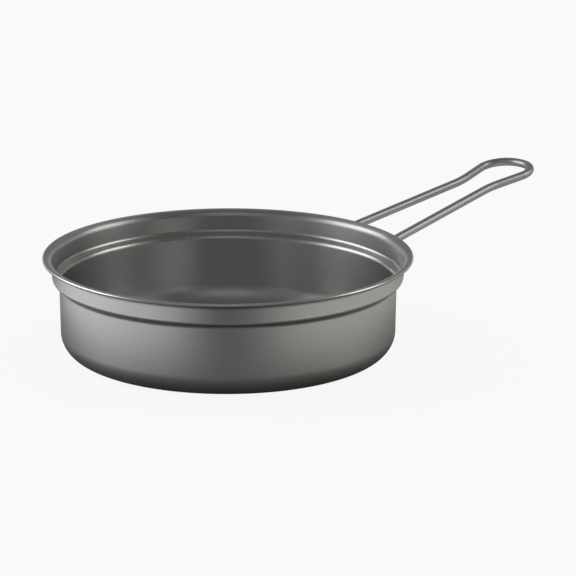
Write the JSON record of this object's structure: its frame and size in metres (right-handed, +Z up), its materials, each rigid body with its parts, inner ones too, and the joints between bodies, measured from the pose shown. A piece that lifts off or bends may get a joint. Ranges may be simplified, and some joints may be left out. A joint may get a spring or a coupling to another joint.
{
  "type": "camping pan",
  "caption": "Shallow round camping pan in thin satin metal, with a flat rolled lip, a stepped band, and a wire loop handle that folds over the mouth.",
  "frame": {"origin": "the middle of the underside of the base, where the pan stands", "axes": "+Z up, out of the pan's mouth; +X from the pan's axis towards the end of the handle; +Y across the handle"},
  "size_m": [0.2798, 0.16, 0.0505],
  "materials": {
    "pan_sheet": "satin, bare titanium sheet",
    "bracket_sheet": "satin, stamped sheet",
    "wire": "drawn wire, smooth satin"
  },
  "bodies": {
    "pan": {"pan_body": "pan_sheet", "hinge_bracket": "bracket_sheet"},
    "handle": {"handle_wire": "wire"}
  },
  "joints": [
    {"name": "handle_fold", "type": "hinge", "parent": "pan", "child": "handle", "pos_m": [0.0821, 0, 0.0388], "axis": [0, -1, 0], "range_deg": [0, 163]}
  ]
}
